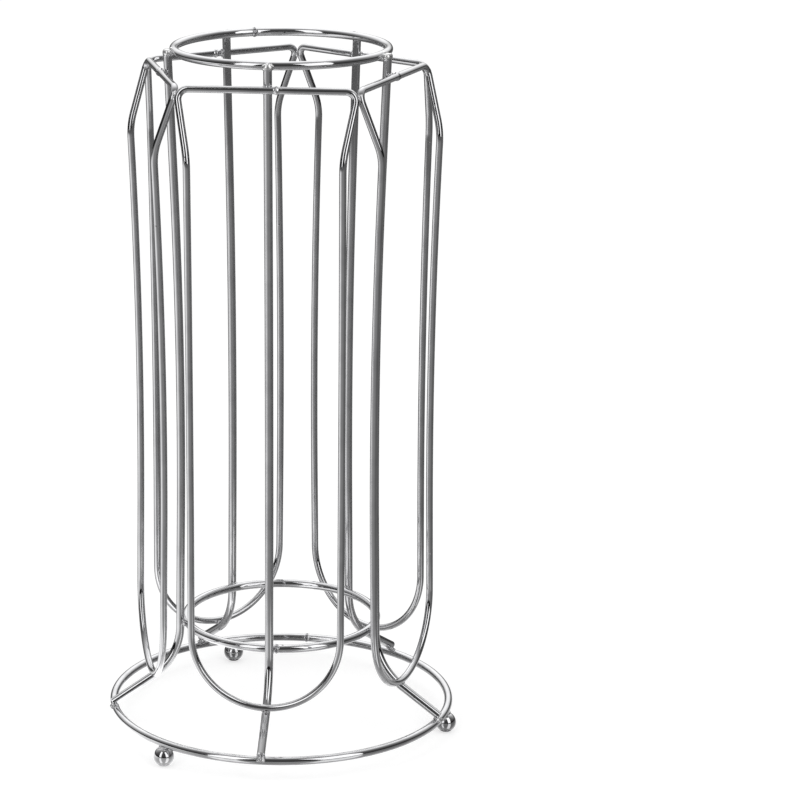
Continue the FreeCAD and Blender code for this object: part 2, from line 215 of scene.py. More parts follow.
class LoopLine:
    """Centre line of a capsule loop: a bar, two shoulders, and two legs down to a round foot."""

    def __init__(self, sizes: StandSizes, post: PostLine) -> None:
        """Work out the line's points.

        Args:
            sizes: The stand's sizes.
            post: Centre line of the post that the loop is welded to.
        """
        self.sizes = sizes
        self.spread = sizes.leg_gap / 2 + sizes.loop_wire
        self.bow_radius = sizes.bow_radius - sizes.post_wire - sizes.flange_channel - sizes.loop_wire
        self.bow_centre = post.bow_centre
        self.upper_bow_end = post.bow_centre + post.to_upper * self.bow_radius
        self.lower_bow_end = post.bow_centre + post.to_lower * self.bow_radius
        self.downward = post.downward
        gap = sizes.post_wire + sizes.loop_wire - sizes.setdown
        lean = post.upward.x / post.upward.z
        height = sizes.top_ring_height - sizes.bar_below_ring
        self.bar_centre = at(post.top_seat.x - sizes.bar_below_ring * lean + gap, height)
        rise = height - sizes.shoulder_drop - self.upper_bow_end.z
        self.shoulder = self.upper_bow_end + post.upward * (rise / post.upward.z) + TANGENTIAL * self.spread
        self.foot, self.foot_normal = self.foot_seat(post, gap)
        self.foot_centre = self.foot - self.downward * self.spread
        half_pitch = pi / sizes.columns
        self.to_neighbour = Vector((-sin(half_pitch), cos(half_pitch), 0.0))
        self.corner_gap = sizes.loop_wire - sizes.setdown / 2
        self.half_width = self.bar_centre.x * tan(half_pitch)
        for _ in range(CORNER_ROUNDS):
            short = -self.corner_gap - self.corner_contact().dot(self.to_neighbour)
            self.half_width += short / cos(half_pitch)

    def foot_seat(self, post: PostLine, gap: float) -> tuple[Vector, Vector]:
        """Lowest point of the loop, and the direction in which the post under it carries it.

        Args:
            post: Centre line of the post.
            gap: Distance between the two wires' centre lines.

        Returns:
            The point, and the unit direction from the post to it.
        """
        to_centre = post.bend_centre - self.lower_bow_end
        halfway = to_centre.dot(self.downward)
        seat_radius = self.sizes.bend_radius - gap
        way_out = halfway + sqrt(halfway ** 2 - to_centre.length_squared + seat_radius ** 2)
        on_bend = self.lower_bow_end + self.downward * way_out
        if (on_bend - post.bend_centre).dot(post.outward) < 0:
            return on_bend, (post.bend_centre - on_bend).normalized()
        to_spoke = post.spoke_start + post.normal * gap - self.lower_bow_end
        way_down = to_spoke.dot(post.normal) / self.downward.dot(post.normal)
        return self.lower_bow_end + self.downward * way_down, post.normal

    def corner(self) -> Bend:
        """The rounded corner between the bar and a shoulder."""
        corner = self.bar_centre + TANGENTIAL * self.half_width
        return rounded(self.bar_centre, corner, self.shoulder, self.sizes.corner_radius)

    def corner_contact(self) -> Vector:
        """The point of the rounded corner that comes nearest to the next loop."""
        bend = self.corner()
        normal = (bend.start - bend.centre).cross(bend.end - bend.centre).normalized()
        towards = (self.to_neighbour - normal * self.to_neighbour.dot(normal)).normalized()
        return bend.centre + towards * self.sizes.corner_radius

    def turn(self) -> Bend:
        """The gentle bend between a shoulder and its leg."""
        upper_leg = self.upper_bow_end + TANGENTIAL * self.spread
        return rounded(self.corner().end, self.shoulder, upper_leg, self.sizes.shoulder_bend_radius)


@dataclass(frozen=True)
class Station:
    """One cross-section of a wire."""

    centre: Vector
    along: Vector
    aside: Vector
    distance: float


class WireBender:
    """Makes a round wire as a bending machine does: straight runs and bends, one after another."""

    def __init__(self, name: str, start: Vector, along: Vector, aside: Vector, radius: float,
                 sides: int = 32) -> None:
        """Start the wire with its first cross-section.

        Args:
            name: Name of the wire's object.
            start: Centre of the first cross-section.
            along: Direction in which the wire leaves it.
            aside: A direction square to the wire, from which the way round it is counted.
            radius: Radius of the wire.
            sides: Number of corners of its cross-section.
        """
        self.radius = radius
        self.sides = sides
        self.along = along.normalized()
        self.aside = aside.normalized()
        self.stations = [Station(start.copy(), self.along.copy(), self.aside.copy(), 0.0)]
        bpy.ops.object.select_all(action="DESELECT")
        turn = Matrix((self.aside, self.along.cross(self.aside), self.along)).transposed()
        bpy.ops.mesh.primitive_circle_add(vertices=sides, radius=radius, location=start,
                                          rotation=turn.to_euler())
        self.wire = bpy.context.object
        self.wire.name = name
        self.wire.data.name = name
        bpy.ops.object.transform_apply(location=True, rotation=True, scale=True)
        bpy.ops.object.mode_set(mode="EDIT")
        bpy.ops.mesh.select_all(action="SELECT")

    def straight(self, end: Vector, pieces: int = 1) -> None:
        """Draw the wire straight on.

        Args:
            end: Where the straight run ends.
            pieces: Number of equal lengths that the run is divided into.
        """
        step = (end - self.stations[-1].centre) / pieces
        for _ in range(pieces):
            bpy.ops.mesh.extrude_region_move(TRANSFORM_OT_translate={"value": step})
            last = self.stations[-1]
            self.stations.append(Station(last.centre + step, self.along.copy(), self.aside.copy(),
                                         last.distance + step.length))

    def bend(self, centre: Vector, end: Vector, degrees_each: float) -> None:
        """Bend the wire round a centre.

        Spin turns the other way round its axis than a rotation does, so it is given the opposite axis.

        Args:
            centre: Centre of the bend.
            end: Where the bend ends.
            degrees_each: Usual turn between two cross-sections, in degrees.
        """
        begin = self.stations[-1].centre - centre
        finish = end - centre
        axis = begin.cross(self.along).normalized()
        angle = atan2(begin.cross(finish).dot(axis), begin.dot(finish))
        steps = max(2, round(angle / radians(degrees_each)))
        bpy.ops.mesh.spin(steps=steps, angle=angle, center=centre, axis=-axis)
        first = self.stations[-1]
        for number in range(1, steps + 1):
            turn = Matrix.Rotation(angle * number / steps, 3, axis)
            self.stations.append(Station(centre + turn @ begin, turn @ first.along, turn @ first.aside,
                                         first.distance + angle * begin.length * number / steps))
        self.along = self.stations[-1].along.copy()
        self.aside = self.stations[-1].aside.copy()

    def finish(self) -> bpy.types.Object:
        """Leave edit mode and lay the wire's own coordinates on it.

        Returns:
            The wire, as an open tube with its place in its mesh.
        """
        bpy.ops.object.mode_set(mode="OBJECT")
        mesh = self.wire.data
        layer = mesh.uv_layers.new(name="Wire")
        turns = []
        for number, vertex in enumerate(mesh.vertices):
            station = self.stations[number // self.sides]
            out = vertex.co - station.centre
            turn = atan2(out.dot(station.along.cross(station.aside)), out.dot(station.aside)) / (2 * pi)
            turns.append((turn % 1.0, station.distance))
        for face in mesh.polygons:
            around = [turns[mesh.loops[loop].vertex_index][0] for loop in face.loop_indices]
            wraps = max(around) - min(around) > 0.5
            for loop, turn in zip(face.loop_indices, around):
                distance = turns[mesh.loops[loop].vertex_index][1]
                layer.data[loop].uv = (turn + 1.0 if wraps and turn < 0.5 else turn, distance)
        return self.wire


class Mesher:
    """Hand tools for a piece's mesh: picking parts of it, closing it, copying it and placing it."""

    @staticmethod
    def only(piece: bpy.types.Object) -> None:
        """Select one object and make it active.

        Args:
            piece: The object.
        """
        bpy.ops.object.select_all(action="DESELECT")
        piece.select_set(True)
        bpy.context.view_layer.objects.active = piece

    @staticmethod
    def pick(piece: bpy.types.Object, wanted: Wanted) -> None:
        """Select some of a mesh's vertices by their place, and enter edit mode.

        Args:
            piece: The object.
            wanted: Function that takes a vertex's place and says whether it is picked.
        """
        Mesher.only(piece)
        bpy.ops.object.mode_set(mode="EDIT")
        bpy.ops.mesh.select_mode(type="VERT")
        bpy.ops.mesh.select_all(action="DESELECT")
        bpy.ops.object.mode_set(mode="OBJECT")
        for vertex in piece.data.vertices:
            vertex.select = wanted(vertex.co)
        bpy.ops.object.mode_set(mode="EDIT")

    @staticmethod
    def edit(piece: bpy.types.Object) -> None:
        """Enter edit mode with the whole mesh of one object selected.

        Args:
            piece: The object.
        """
        Mesher.only(piece)
        bpy.ops.object.mode_set(mode="EDIT")
        bpy.ops.mesh.select_all(action="SELECT")

    @staticmethod
    def merge(piece: bpy.types.Object) -> None:
        """Merge a mesh's double vertices and point its faces outwards.

        Args:
            piece: The object.
        """
        Mesher.edit(piece)
        bpy.ops.mesh.remove_doubles(threshold=MERGE_DISTANCE)
        bpy.ops.mesh.normals_make_consistent(inside=False)
        bpy.ops.object.mode_set(mode="OBJECT")

    @staticmethod
    def close_end(piece: bpy.types.Object, centre: Vector, radius: float, chamfer: float) -> None:
        """Close an open end of a wire with a flat cut whose rim is broken.

        Args:
            piece: The wire.
            centre: Centre of the open end.
            radius: Radius of the wire.
            chamfer: Width of the broken rim.
        """
        Mesher.pick(piece, lambda place: (place - centre).length < radius * END_REACH)
        bpy.ops.mesh.edge_face_add()
        bpy.ops.mesh.inset(thickness=chamfer, depth=chamfer * RIM_SLOPE)
        bpy.ops.mesh.select_all(action="SELECT")
        bpy.ops.mesh.normals_make_consistent(inside=False)
        bpy.ops.object.mode_set(mode="OBJECT")

    @staticmethod
    def resize(piece: bpy.types.Object, wanted: Wanted, factors: Scale, centre: Vector) -> None:
        """Resize a part of a piece about a point.

        Args:
            piece: The piece.
            wanted: Function that takes a vertex's place and says whether it is picked.
            factors: Factors along X, Y and Z.
            centre: The point that stays.
        """
        Mesher.pick(piece, wanted)
        bpy.ops.transform.resize(value=factors, center_override=centre)
        bpy.ops.object.mode_set(mode="OBJECT")

    @staticmethod
    def copy(piece: bpy.types.Object, name: str) -> bpy.types.Object:
        """Copy a piece, with its own mesh.

        Args:
            piece: The piece.
            name: Name of the copy.

        Returns:
            The copy.
        """
        Mesher.only(piece)
        bpy.ops.object.duplicate()
        copy = bpy.context.object
        copy.name = name
        copy.data.name = name
        return copy

    @staticmethod
    def turn(piece: bpy.types.Object, angle: float) -> None:
        """Turn a piece about the stand's axis, with its place in its mesh.

        Args:
            piece: The piece at angle zero.
            angle: The angle.
        """
        Mesher.only(piece)
        piece.rotation_euler = (0.0, 0.0, angle)
        bpy.ops.object.transform_apply(location=True, rotation=True, scale=True)

    @staticmethod
    def join(pieces: list[bpy.types.Object], name: str) -> bpy.types.Object:
        """Join several objects into one.

        Args:
            pieces: The objects.
            name: Name of the joined object.

        Returns:
            The joined object.
        """
        bpy.ops.object.select_all(action="DESELECT")
        for piece in pieces:
            piece.select_set(True)
        bpy.context.view_layer.objects.active = pieces[0]
        bpy.ops.object.join()
        joined = bpy.context.object
        joined.name = name
        joined.data.name = name
        return joined

    @staticmethod
    def smooth(piece: bpy.types.Object, sharp_above: float = SMOOTH_BELOW_DEGREES) -> None:
        """Shade a piece smooth, apart from its sharp edges.

        Args:
            piece: The piece.
            sharp_above: Angle above which an edge stays sharp, in degrees.
        """
        Mesher.only(piece)
        bpy.ops.object.shade_smooth_by_angle(angle=radians(sharp_above))


@dataclass(frozen=True)
class ButtJoint:
    """The ridge that is left where the two ends of a wire were welded together."""

    rows: tuple[tuple[float, float], ...] = (
        (0.0, 1.26), (0.00025, 1.2), (-0.00025, 1.22), (0.0005, 1.08), (-0.0005, 1.1),
        (0.00075, 0.95), (-0.00075, 0.96))
    row_half_length: float = 0.00005
    row_reach: float = 1.3
    uneven_reach: float = 1.35
    unevenness: float = 0.0001
    even_share: float = 0.4
    softening: float = 0.4

    def raise_on(self, piece: bpy.types.Object, centre: Vector, radius: float, seed: int) -> None:
        """Swell the rows of a wire that runs tangentially, and make them uneven.

        Args:
            piece: The wire, with close cross-sections at the joint.
            centre: Centre of the joint.
            radius: Radius of the wire.
            seed: Seed of the ridge's unevenness.
        """
        for offset, factor in self.rows:
            middle = centre + TANGENTIAL * offset

            def in_row(place: Vector) -> bool:
                """Whether a vertex lies in this cross-section."""
                way = place - middle
                in_plane = abs(way.dot(TANGENTIAL)) < self.row_half_length
                return in_plane and way.length < radius * self.row_reach

            Mesher.resize(piece, in_row, (factor, factor, factor), middle)
        Mesher.pick(piece, lambda place: (place - centre).length < radius * self.uneven_reach)
        bpy.ops.transform.vertex_random(offset=self.unevenness, uniform=self.even_share, seed=seed)
        bpy.ops.mesh.vertices_smooth(factor=self.softening, repeat=1)
        bpy.ops.object.mode_set(mode="OBJECT")


class NodeBench:
    """Adds and links the nodes of one material or world."""

    def __init__(self, name: str) -> None:
        """Start a material with its output and its main shader.

        Args:
            name: Name of the material.
        """
        self.material = bpy.data.materials.new(name)
        self.material.use_nodes = True
        self.tree = self.material.node_tree
        self.tree.nodes.clear()
        self.output = self.tree.nodes.new("ShaderNodeOutputMaterial")
        self.shader = self.tree.nodes.new("ShaderNodeBsdfPrincipled")
        self.link(self.shader, "BSDF", self.output, "Surface")

    @classmethod
    def for_world(cls, world: bpy.types.World) -> "NodeBench":
        """Start the nodes of a world.

        Args:
            world: The world.

        Returns:
            A bench with the world's output alone.
        """
        bench = cls.__new__(cls)
        bench.tree = world.node_tree
        bench.tree.nodes.clear()
        bench.output = bench.tree.nodes.new("ShaderNodeOutputWorld")
        return bench

    def seen(self) -> bpy.types.Node:
        """Add nodes that tell what is seen, straight or by way of metal or glass.

        Returns:
            The node that gives 1 for it, and 0 for the rest.
        """
        path = self.node("ShaderNodeLightPath")
        first = self.node("ShaderNodeMath", operation="MAXIMUM")
        self.link(path, "Is Camera Ray", first, 0)
        self.link(path, "Is Glossy Ray", first, 1)
        second = self.node("ShaderNodeMath", operation="MAXIMUM")
        self.link(first, "Value", second, 0)
        self.link(path, "Is Transmission Ray", second, 1)
        return second

    def ramp(self, tones: Tones) -> bpy.types.Node:
        """Add a ramp of greys.

        Args:
            tones: Places along a scale with their levels, from its start to its end.

        Returns:
            The ramp.
        """
        low = tones[0][0]
        high = tones[-1][0]
        ramp = self.node("ShaderNodeValToRGB")
        stops = ramp.color_ramp.elements
        while len(stops) < len(tones):
            stops.new(0.5)
        for stop, (place, level) in zip(stops, tones):
            stop.position = (place - low) / (high - low)
            stop.color = grey(level)
        return ramp

    def fade(self, source: bpy.types.Node, output: str, span: Span,
             ends: Span = (0.0, 1.0)) -> bpy.types.Node:
        """Add a smooth fade of a node's value.

        Args:
            source: The node that gives the value.
            output: Name of its output.
            span: The values between which it fades.
            ends: What it gives before and after them.

        Returns:
            The fading node.
        """
        fading = self.node("ShaderNodeMapRange", interpolation_type="SMOOTHSTEP", From_Min=span[0],
                           From_Max=span[1], To_Min=ends[0], To_Max=ends[1])
        self.link(source, output, fading, "Value")
        return fading

    def node(self, kind: str, **values: object) -> bpy.types.Node:
        """Add a node and set its properties and unlinked sockets.

        Args:
            kind: Blender's name for the node's type.
            **values: Properties, or sockets by their name with underscores for spaces.

        Returns:
            The node.
        """
        made = self.tree.nodes.new(kind)
        for key, value in values.items():
            if hasattr(made, key):
                setattr(made, key, value)
            else:
                made.inputs[key.replace("_", " ")].default_value = value
        return made

    def link(self, source: bpy.types.Node, output: str | int, target: bpy.types.Node,
             socket: str | int) -> None:
        """Link one node's output to another's input.

        Args:
            source: The node that gives.
            output: Name or number of its output.
            target: The node that takes.
            socket: Name or number of its input.
        """
        self.tree.links.new(source.outputs[output], target.inputs[socket])

    def mapped(self, kind: str, socket: str, scale: Scale) -> bpy.types.Node:
        """Add coordinates with a scale of their own.

        Args:
            kind: Blender's name for the coordinate node's type.
            socket: Name of the output that gives the coordinates.
            scale: Scale along each axis.

        Returns:
            The mapping node.
        """
        source = self.node(kind)
        mapping = self.node("ShaderNodeMapping", Scale=scale)
        self.link(source, socket, mapping, "Vector")
        return mapping


@dataclass(frozen=True)
class ChromeFinish:
    """Bright chrome plating on steel, with what lies under it showing through."""

    name: str
    color: Color = (0.60, 0.60, 0.61, 1.0)
    dull_color: Color = (0.48, 0.48, 0.49, 1.0)
    roughness: float = 0.04
    dull_roughness: float = 0.12
    patch_scale: float = 95.0
    patch_edges: Span = (0.42, 0.78)
    line_scale: Scale = (34.0, 14.0, 1.0)
    line_bump: float = 0.2
    ripple_scale: float = 260.0
    ripple_bump: float = 0.05
    bump_depth: float = 0.0001
    pit_scale: float = 140.0
    pit_edges: Span = (0.03, 0.07)
    pit_bump: float = 0.5
    pit_depth: float = 0.00006
    # Above this height the post's head gets a paler colour, which is a painted highlight, and a rougher
    # surface
    painted_highlight_above: float | None = None
    painted_highlight_depth: float = 0.0005
    head_roughness: float = 0.34
    painted_highlight_color: Color = (0.86, 0.86, 0.86, 1.0)

    def build(self) -> bpy.types.Material:
        """Make the material.

        Returns:
            The material, whose patterns stand in real sizes on the piece.
        """
        bench = NodeBench(self.name)
        place = bench.mapped("ShaderNodeTexCoord", "Object", (1.0, 1.0, 1.0))
        patches = bench.node("ShaderNodeTexNoise", Scale=self.patch_scale, Detail=3.0, Roughness=0.6)
        bench.link(place, "Vector", patches, "Vector")
        low, high = self.patch_edges
        spread = bench.node("ShaderNodeMapRange", From_Min=low, From_Max=high)
        bench.link(patches, "Fac", spread, "Value")
        tone = bench.node("ShaderNodeMix", data_type="RGBA")
        for socket, color in zip(MIX_COLORS, (self.color, self.dull_color)):
            tone.inputs[socket].default_value = color
        bench.link(spread, "Result", tone, MIX_FACTOR)
        gloss = bench.node("ShaderNodeMapRange", To_Min=self.roughness, To_Max=self.dull_roughness)
        bench.link(spread, "Result", gloss, "Value")
        if self.painted_highlight_above is None:
            bench.link(tone, MIXED_COLOR, bench.shader, "Base Color")
            bench.link(gloss, "Result", bench.shader, "Roughness")
        else:
            self.painted_highlight_end(bench, tone, gloss)
        bench.shader.inputs["Metallic"].default_value = 1.0
        lines = self.drawing_lines(bench)
        ripple = bench.node("ShaderNodeTexNoise", Scale=self.ripple_scale, Detail=2.0)
        bench.link(place, "Vector", ripple, "Vector")
        second = bench.node("ShaderNodeBump", Strength=self.ripple_bump, Distance=self.bump_depth)
        bench.link(ripple, "Fac", second, "Height")
        bench.link(lines, "Normal", second, "Normal")
        cells = bench.node("ShaderNodeTexVoronoi", Scale=self.pit_scale, Randomness=1.0)
        bench.link(place, "Vector", cells, "Vector")
        low, high = self.pit_edges
        pits = bench.node("ShaderNodeMapRange", From_Min=low, From_Max=high, To_Min=1.0, To_Max=0.0)
        bench.link(cells, "Distance", pits, "Value")
        third = bench.node("ShaderNodeBump", Strength=self.pit_bump, Distance=self.pit_depth)
        bench.link(pits, "Result", third, "Height")
        bench.link(second, "Normal", third, "Normal")
        bench.link(third, "Normal", bench.shader, "Normal")
        return bench.material

    def painted_highlight_end(self, bench: NodeBench, tone: bpy.types.Node, gloss: bpy.types.Node) -> None:
        """Paint a highlight on the plating above a height as a paler colour, and make the plating rougher
        there.

        Args:
            bench: The material's bench.
            tone: The node that gives the colour of the rest.
            gloss: The node that gives the roughness of the rest.
        """
        place = bench.node("ShaderNodeTexCoord")
        parts = bench.node("ShaderNodeSeparateXYZ")
        bench.link(place, "Object", parts, "Vector")
        painted_highlight_mask = bench.node("ShaderNodeMapRange", From_Min=self.painted_highlight_above,
                            From_Max=self.painted_highlight_above + self.painted_highlight_depth)
        bench.link(parts, "Z", painted_highlight_mask, "Value")
        # The paler colour mixed in here is a painted highlight on the post's head
        color = bench.node("ShaderNodeMix", data_type="RGBA")
        color.inputs[MIX_COLORS[1]].default_value = self.painted_highlight_color
        bench.link(painted_highlight_mask, "Result", color, MIX_FACTOR)
        bench.link(tone, MIXED_COLOR, color, MIX_COLORS[0])
        bench.link(color, MIXED_COLOR, bench.shader, "Base Color")
        roughness = bench.node("ShaderNodeMix", data_type="FLOAT")
        roughness.inputs[MIX_NUMBERS[1]].default_value = self.head_roughness
        bench.link(painted_highlight_mask, "Result", roughness, MIX_FACTOR)
        bench.link(gloss, "Result", roughness, MIX_NUMBERS[0])
        bench.link(roughness, MIXED_NUMBER, bench.shader, "Roughness")

    def drawing_lines(self, bench: NodeBench) -> bpy.types.Node:
        """Faint lines along the wire, left by the die that it was drawn through.

        Args:
            bench: The material's bench.

        Returns:
            The bump node that holds the lines.
        """
        along = bench.mapped("ShaderNodeUVMap", "UV", self.line_scale)
        lines = bench.node("ShaderNodeTexNoise", Scale=1.0, Detail=3.0, Roughness=0.65)
        bench.link(along, "Vector", lines, "Vector")
        bump = bench.node("ShaderNodeBump", Strength=self.line_bump, Distance=self.bump_depth)
        bench.link(lines, "Fac", bump, "Height")
        return bump


def dress(piece: bpy.types.Object, finish: bpy.types.Material) -> None:
    """Give a piece its finish, and tie it to the node that it replaces.

    Args:
        piece: The piece, named as its node with a prefix.
        finish: Its material.
    """
    piece.data.materials.append(finish)
    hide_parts(piece.name.removeprefix(PLATED))
    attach(piece, "root")
    log.info("%s: %d faces", piece.name, len(piece.data.polygons))


@dataclass
class Rings:
    """The three rings of round wire, each butted and welded to itself."""

    sizes: StandSizes
    joint_steps: tuple[float, ...] = (0.00025, 0.0005, 0.00075, 0.001)
    top_joint_degrees: float = 111.5
    collar_joint_degrees: float = -86.2
    base_joint_degrees: float = 87.3
    step_degrees: float = 2.0

    def build(self, chrome: bpy.types.Material) -> None:
        """Make the rings.

        Args:
            chrome: Finish of the wire.
        """
        sizes = self.sizes
        rings = (
            ("top_ring", sizes.top_ring_radius, sizes.top_ring_height, self.top_joint_degrees),
            ("collar_ring", sizes.collar_ring_radius, sizes.collar_ring_height, self.collar_joint_degrees),
            ("base_ring", sizes.base_ring_radius, sizes.base_ring_height(), self.base_joint_degrees),
        )
        for seed, (name, radius, height, joint) in enumerate(rings, start=1):
            ring = self.ring(name, radius, height, seed)
            Mesher.turn(ring, radians(joint))
            dress(ring, chrome)

    def ring(self, name: str, radius: float, height: float, seed: int) -> bpy.types.Object:
        """Bend one ring, with its joint at angle zero.

        Args:
            name: Name of the ring.
            radius: Radius of its centre line.
            height: Height of its centre line.
            seed: Seed of its joint's unevenness.

        Returns:
            The closed ring.
        """
        joint = at(radius, height)
        axle = at(0.0, height)
        near = [step / radius for step in self.joint_steps]
        quarters = [pi / 2, pi, 3 * pi / 2]
        angles = near + quarters + [2 * pi - step for step in reversed(near)] + [2 * pi]
        bender = WireBender(PLATED + name, joint, TANGENTIAL, RADIAL, self.sizes.ring_wire)
        for angle in angles:
            bender.bend(axle, axle + heading(angle) * radius, self.step_degrees)
        ring = bender.finish()
        Mesher.merge(ring)
        ButtJoint().raise_on(ring, joint, self.sizes.ring_wire, seed)
        Mesher.smooth(ring)
        return ring


@dataclass
class Posts:
    """The posts, each spread into a low head at its top and bent at its foot into a spoke."""

    sizes: StandSizes
    line: PostLine
    crown: float = 0.0012
    crown_start: float = 0.5
    head: float = 0.0016
    neck: float = 0.0024
    wider: float = 0.4
    thicker: float = 0.1
    head_varies: float = 0.12
    head_varies_step: float = 2.4
    top_sections: int = 14
    section_length: float = 0.0002
    row_reach: float = 0.4
    cap_reach: float = 2.0
    rim: float = 0.0003

    def build(self, chrome: bpy.types.Material) -> None:
        """Make the posts.

        Args:
            chrome: Finish of the wire.
        """
        master = self.master()
        for number, angle in enumerate(self.sizes.post_angles(), start=1):
            post = Mesher.copy(master, f"{PLATED}post_{number}")
            self.spread_head(post, 1.0 - self.head_varies * sin(self.head_varies_step * number))
            Mesher.smooth(post)
            Mesher.turn(post, angle)
            dress(post, chrome)
        bpy.data.objects.remove(master)

    def master(self) -> bpy.types.Object:
        """Bend one post at angle zero.

        Returns:
            The post, closed at both ends.
        """
        line = self.line
        bender = WireBender("post_master", line.top, -line.upward, TANGENTIAL, self.sizes.post_wire)
        below_head = line.top - line.upward * self.section_length * self.top_sections
        bender.straight(below_head, pieces=self.top_sections)
        bender.straight(line.upper_bow_end, pieces=6)
        bender.bend(line.bow_centre, line.lower_bow_end, BOW_STEP_DEGREES)
        bender.straight(line.bend_start, pieces=6)
        bender.bend(line.bend_centre, line.spoke_start, BEND_STEP_DEGREES)
        bender.straight(line.spoke_end, pieces=12)
        post = bender.finish()
        Mesher.close_end(post, line.top, self.sizes.post_wire, self.rim)
        Mesher.close_end(post, line.spoke_end, self.sizes.post_wire, self.rim)
        return post

    def spread_head(self, post: bpy.types.Object, strength: float) -> None:
        """Spread the post's end into a low rounded head, as the welding jaws did.

        Args:
            post: The post.
            strength: How strongly, 1 for the usual.
        """
        line = self.line
        spacing = self.section_length
        for section in range(self.top_sections):
            depth = section * spacing
            middle = line.top - line.upward * depth
            above = spacing * (self.cap_reach if section == 0 else self.row_reach)
            below_head = min(1.0, max(0.0, (depth - self.head) / (self.neck - self.head)))
            spread = strength * (1.0 - below_head * below_head * (3.0 - 2.0 * below_head))
            bare = max(0.0, 1.0 - depth / self.crown)
            rounding = self.crown_start + (1.0 - self.crown_start) * sqrt(1.0 - bare * bare)

            def in_row(place: Vector) -> bool:
                """Whether a vertex lies in this cross-section."""
                height = (place - middle).dot(line.upward)
                return -spacing * self.row_reach < height < above

            thickness = rounding * (1.0 + self.thicker * spread)
            width = rounding * (1.0 + self.wider * spread)
            Mesher.resize(post, in_row, (thickness, width, 1.0), middle)


@dataclass
class CapsuleLoops:
    """The closed loops that the capsules' flanges stand behind."""

    sizes: StandSizes
    line: LoopLine
    joint_offset: float = 0.0033
    joint_spacing: float = 0.00025
    joint_half_rows: int = 4
    corner_step_degrees: float = 5.0
    seeds_after: int = 10

    def build(self, chrome: bpy.types.Material) -> None:
        """Make the loops, the last of them hung the other way round.

        Args:
            chrome: Finish of the wire.
        """
        master = self.master()
        for number, angle in enumerate(self.sizes.post_angles(), start=1):
            loop = Mesher.copy(master, f"{PLATED}capsule_loop_{number}")
            side = -1.0 if number == self.sizes.columns else 1.0
            joint = self.line.bar_centre + TANGENTIAL * self.joint_offset * side
            ButtJoint().raise_on(loop, joint, self.sizes.loop_wire, self.seeds_after + number)
            Mesher.smooth(loop)
            Mesher.turn(loop, angle)
            dress(loop, chrome)
        bpy.data.objects.remove(master)

    def master(self) -> bpy.types.Object:
        """Bend one loop at angle zero: one half and its mirror image.

        Returns:
            The closed loop.
        """
        line = self.line
        aside = TANGENTIAL * line.spread
        corner = line.corner()
        turn = line.turn()
        lower_leg = line.lower_bow_end + aside
        leg_start = line.upper_bow_end + aside
        bender = WireBender("loop_master", line.bar_centre, TANGENTIAL, UP, self.sizes.loop_wire)
        for row in range(-self.joint_half_rows, self.joint_half_rows + 1):
            bender.straight(line.bar_centre + TANGENTIAL * (self.joint_offset + self.joint_spacing * row))
        bender.straight(corner.start, pieces=8)
        bender.bend(corner.centre, corner.end, self.corner_step_degrees)
        bender.straight(turn.start, pieces=6)
        bender.bend(turn.centre, turn.end, BEND_STEP_DEGREES)
        bender.straight(leg_start, pieces=4)
        bender.bend(line.bow_centre + aside, lower_leg, BOW_STEP_DEGREES)
        bender.straight(line.foot_centre + aside, pieces=10)
        bender.bend(line.foot_centre, line.foot, BEND_STEP_DEGREES)
        loop = bender.finish()
        Mesher.only(loop)
        bpy.ops.object.modifier_add(type="MIRROR")
        mirror = loop.modifiers[-1]
        mirror.use_axis = (False, True, False)
        mirror.merge_threshold = MERGE_DISTANCE
        bpy.ops.object.modifier_apply(modifier=mirror.name)
        Mesher.merge(loop)
        return loop


@dataclass
class BallFeet:
    """The balls that the base ring stands on."""

    sizes: StandSizes
    neck_radius: float = 0.0012
    neck_height: float = 0.0003
    neck_taper: Scale = (0.85, 0.85, 0.3)
    worn_height: float = 0.00005
    sharp_above_degrees: float = 40.0

    def build(self, chrome: bpy.types.Material) -> None:
        """Make the balls.

        Args:
            chrome: Finish of the balls.
        """
        master = self.master()
        for number, angle in enumerate(self.sizes.foot_angles(), start=1):
            ball = Mesher.copy(master, f"{PLATED}ball_foot_{number}")
            Mesher.turn(ball, angle)
            dress(ball, chrome)
        bpy.data.objects.remove(master)

    def master(self) -> bpy.types.Object:
        """Make one ball at angle zero.

        Returns:
            The ball, worn flat where it stands and drawn up where it is welded.
        """
        sizes = self.sizes
        bpy.ops.object.select_all(action="DESELECT")
        centre = at(sizes.base_ring_radius, sizes.ball_radius)
        bpy.ops.mesh.primitive_uv_sphere_add(segments=64, ring_count=48, radius=sizes.ball_radius,
                                             location=centre)
        ball = bpy.context.object
        bpy.ops.object.transform_apply(location=True, rotation=True, scale=True)
        ball.data.uv_layers[0].name = "Wire"
        top = at(sizes.base_ring_radius, 2 * sizes.ball_radius)
        Mesher.pick(ball, lambda place: (place - top).length < self.neck_radius)
        bpy.ops.mesh.extrude_region_move(TRANSFORM_OT_translate={"value": UP * self.neck_height})
        bpy.ops.transform.resize(value=self.neck_taper, center_override=top + UP * self.neck_height)
        bpy.ops.object.mode_set(mode="OBJECT")
        foot = at(sizes.base_ring_radius, 0.0)
        Mesher.resize(ball, lambda place: place.z < self.worn_height, (1.0, 1.0, 0.0), foot)
        Mesher.smooth(ball, self.sharp_above_degrees)
        return ball


@dataclass(frozen=True)
class WeldKind:
    """One kind of weld at angle zero: its place, the way from one wire to the other, and two across."""

    node: str
    point: Vector
    through: Vector
    first: Vector
    second: Vector
    radius: float = 0.0016
    flatness: float = 0.55
    bead: float = 0.00058
    bead_reach: float = 0.00105


